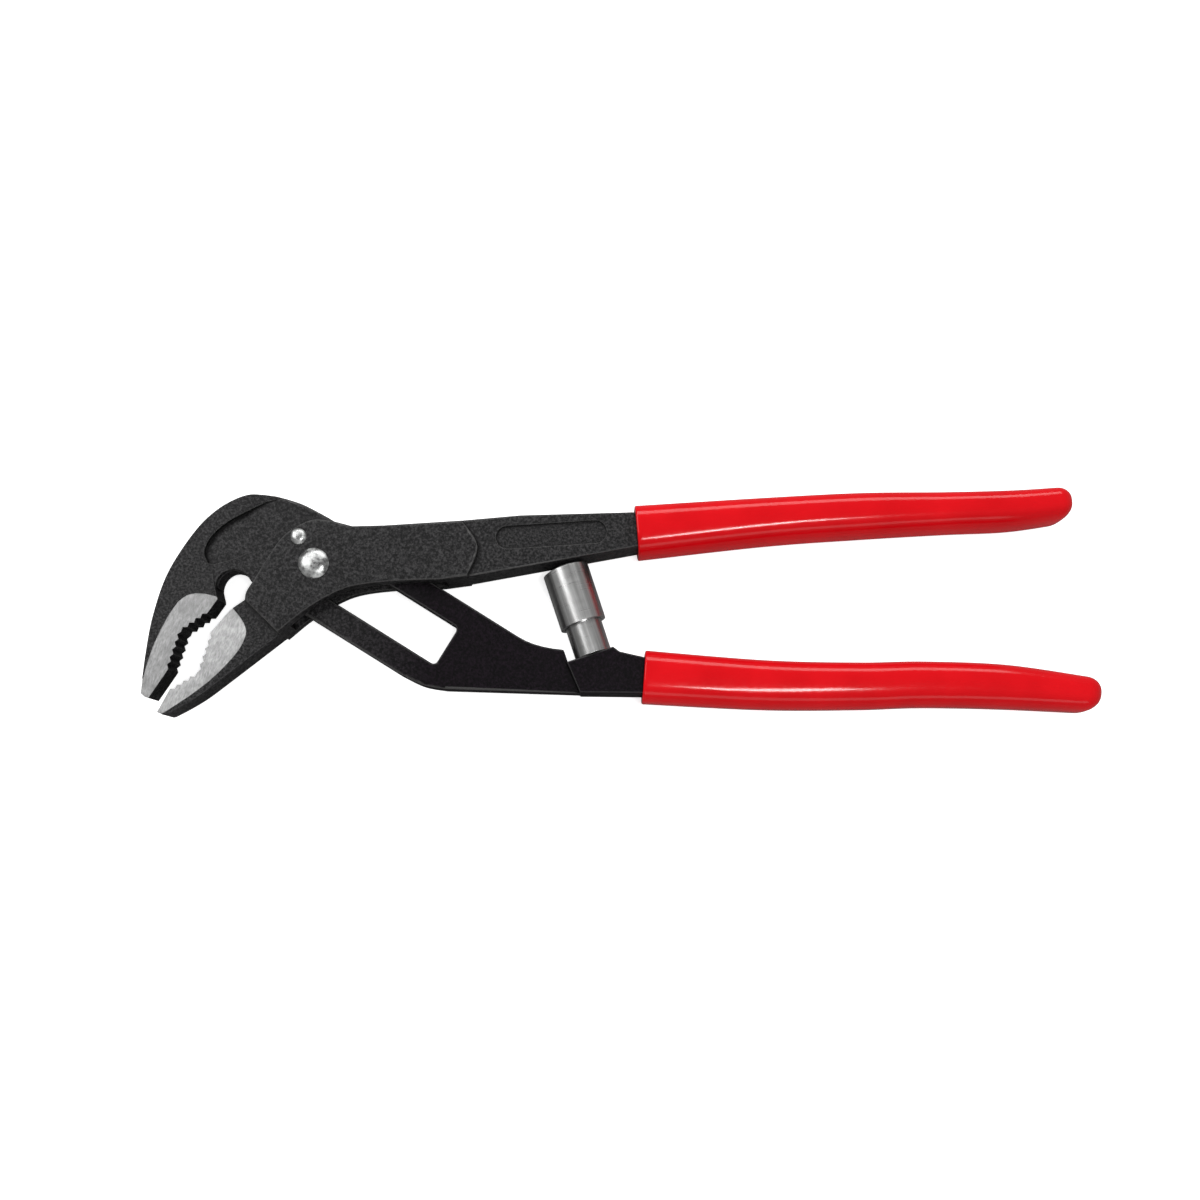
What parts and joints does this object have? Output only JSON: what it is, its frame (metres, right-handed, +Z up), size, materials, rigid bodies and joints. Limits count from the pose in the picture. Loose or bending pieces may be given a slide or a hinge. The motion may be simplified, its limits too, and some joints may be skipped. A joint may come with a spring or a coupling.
{
  "type": "water pump pliers",
  "caption": "Self-adjusting water pump pliers: a toothed hook jaw on a slotted arm passes through a riveted box joint, with a sprung strut between dipped handles.",
  "frame": {"origin": "on the main pivot's axis, at the flat rear end of the pivot rivet, which is the plane that the pliers lie on", "axes": "+X from the pivot towards the handle ends, +Y from the lower handle towards the upper one, +Z up through the thickness towards the viewer of the picture"},
  "size_m": [0.2541, 0.0602, 0.0135],
  "materials": {
    "lower_forging": "fine-grained black paint, jaw face ground bright",
    "upper_forging": "fine-grained black paint, jaw face ground bright",
    "rivet_zinc": "mottled bright zinc",
    "bush_steel": "plain turned steel",
    "strut_steel": "bright turned steel",
    "spring_steel": "plain spring wire",
    "grip_vinyl": "glossy dipped vinyl"
  },
  "bodies": {
    "pivot": {"pivot_rivet": "rivet_zinc"},
    "upper_lever": {"upper_lever": "upper_forging", "upper_grip": "grip_vinyl", "lock_rivet": "rivet_zinc"},
    "slide_block": {"pivot_bush": "bush_steel"},
    "lower_lever": {"lower_lever": "lower_forging", "lower_grip": "grip_vinyl", "strut_plunger": "strut_steel", "strut_stop_ring": "spring_steel", "strut_spring": "spring_steel"},
    "sleeve": {"strut_sleeve": "strut_steel"}
  },
  "joints": [
    {"name": "handle_squeeze", "type": "hinge", "parent": "pivot", "child": "upper_lever", "pos_m": [0, 0, 0.00675], "axis": [0, 0, -1], "range_deg": [0, 3.2], "stiffness_Nm_per_rad": 16},
    {"name": "handle_spread", "type": "hinge", "parent": "pivot", "child": "slide_block", "pos_m": [0, 0, 0.00675], "axis": [0, 0, -1], "range_deg": [0, 33.9]},
    {"name": "jaw_adjust", "type": "slide", "parent": "slide_block", "child": "lower_lever", "axis": [-0.848, 0.5299, 0], "range_m": [0, 0.034]},
    {"name": "strut_telescope", "type": "slide", "parent": "lower_lever", "child": "sleeve", "axis": [0.314, -0.9494, 0], "range_m": [0, 0.0039], "deforming": ["strut_spring"]}
  ],
  "couplings": [
    {"joint": "handle_spread", "follows": "jaw_adjust", "rad_per_m": 17.4},
    {"joint": "strut_telescope", "follows": "handle_squeeze", "m_per_rad": 0.069}
  ]
}
